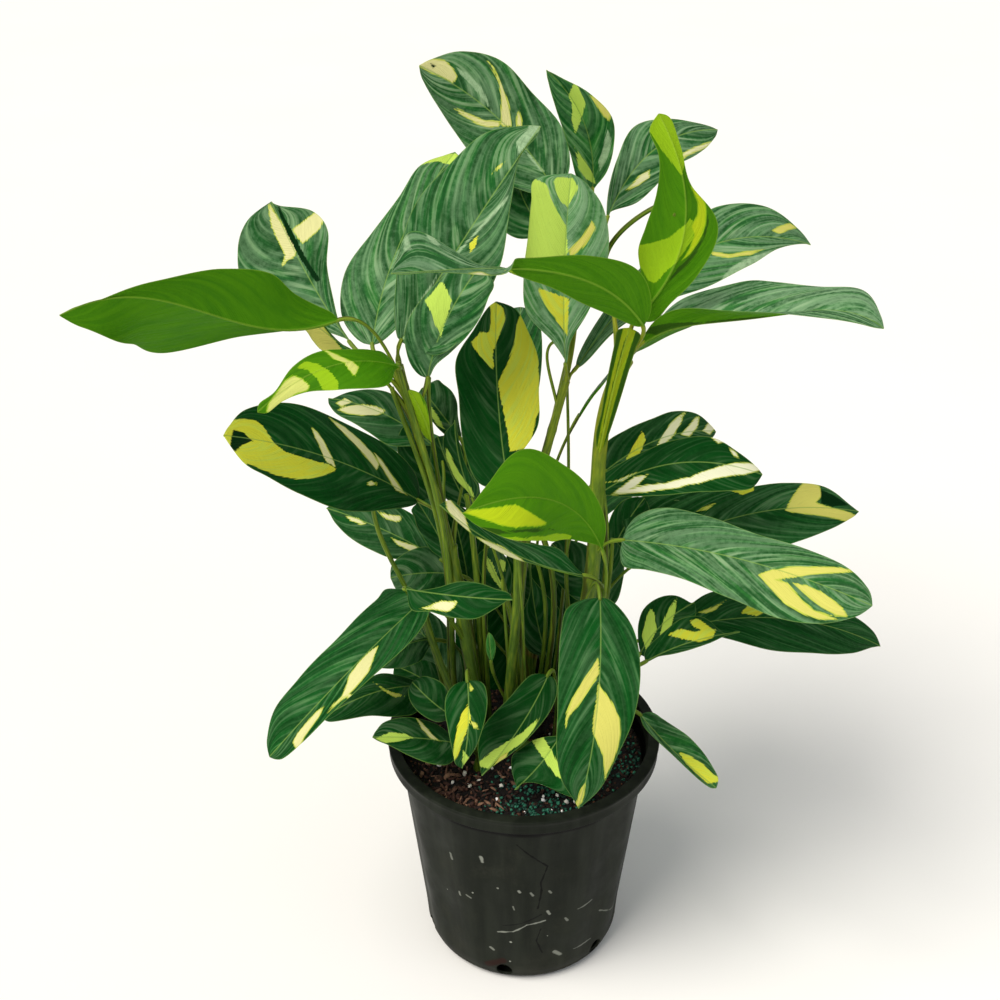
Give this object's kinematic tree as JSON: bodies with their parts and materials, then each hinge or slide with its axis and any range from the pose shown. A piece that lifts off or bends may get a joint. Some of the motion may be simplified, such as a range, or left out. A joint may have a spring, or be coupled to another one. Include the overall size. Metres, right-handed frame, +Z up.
{
  "type": "potted ctenanthe",
  "caption": "Variegated ctenanthe house plant, broad pointed leaves on canes and petioles, growing in a plain fluted nursery pot.",
  "frame": {"origin": "centre of the pot's base, on the floor", "axes": "+Z up; the plant's front looks towards -Y, +X is to its right seen from the front"},
  "size_m": [0.6958, 0.4075, 0.831],
  "materials": {
    "pot": "moulded, satin, dusty",
    "soil": "loose bark and peat mix",
    "stem": "smooth, waxy",
    "leaf": "satin, variegated"
  },
  "bodies": {
    "root": {"leaf_far_left": "leaf", "leaf_far_left_rear": "leaf", "leaf_front_hanging": "leaf", "leaf_left_arched": "leaf", "leaf_left_broad": "leaf", "leaf_left_broad_rear": "leaf", "leaf_left_inner": "leaf", "leaf_left_lime_small": "leaf", "leaf_left_lower_rear": "leaf", "leaf_left_tall": "leaf", "leaf_left_tall_rear": "leaf", "leaf_low_hanging": "leaf", "leaf_low_left": "leaf", "leaf_low_left_round": "leaf", "leaf_low_middle": "leaf", "leaf_low_right_curled": "leaf", "leaf_low_right_long": "leaf", "leaf_low_right_striped": "leaf", "leaf_low_soil": "leaf", "leaf_lower_left_cross": "leaf", "leaf_lower_left_drooping": "leaf", "leaf_lower_left_small": "leaf", "leaf_middle_bright": "leaf", "leaf_middle_small": "leaf", "leaf_middle_under": "leaf", "leaf_middle_upright": "leaf", "leaf_middle_yellow": "leaf", "leaf_rear_left": "leaf", "leaf_rear_low": "leaf", "leaf_rear_right": "leaf", "leaf_rear_side_left": "leaf", "leaf_rear_side_right": "leaf", "leaf_rear_upper": "leaf", "leaf_right_big": "leaf", "leaf_right_big_rear": "leaf", "leaf_right_level": "leaf", "leaf_right_streaked": "leaf", "leaf_right_streaked_rear": "leaf", "leaf_right_upper": "leaf", "leaf_rim_left": "leaf", "leaf_rim_right": "leaf", "leaf_shade_middle": "leaf", "leaf_top_left": "leaf", "leaf_top_middle": "leaf", "leaf_top_rear": "leaf", "leaf_top_right": "leaf", "leaf_twisted_left": "leaf", "leaf_twisted_upright": "leaf", "pot": "pot", "shoot_centre_low": "stem", "shoot_front": "stem", "shoot_front_left": "stem", "shoot_left": "stem", "shoot_left_low": "stem", "shoot_middle": "stem", "shoot_rear": "stem", "shoot_right": "stem", "shoot_right_low": "stem", "soil": "soil"}
  },
  "joints": []
}
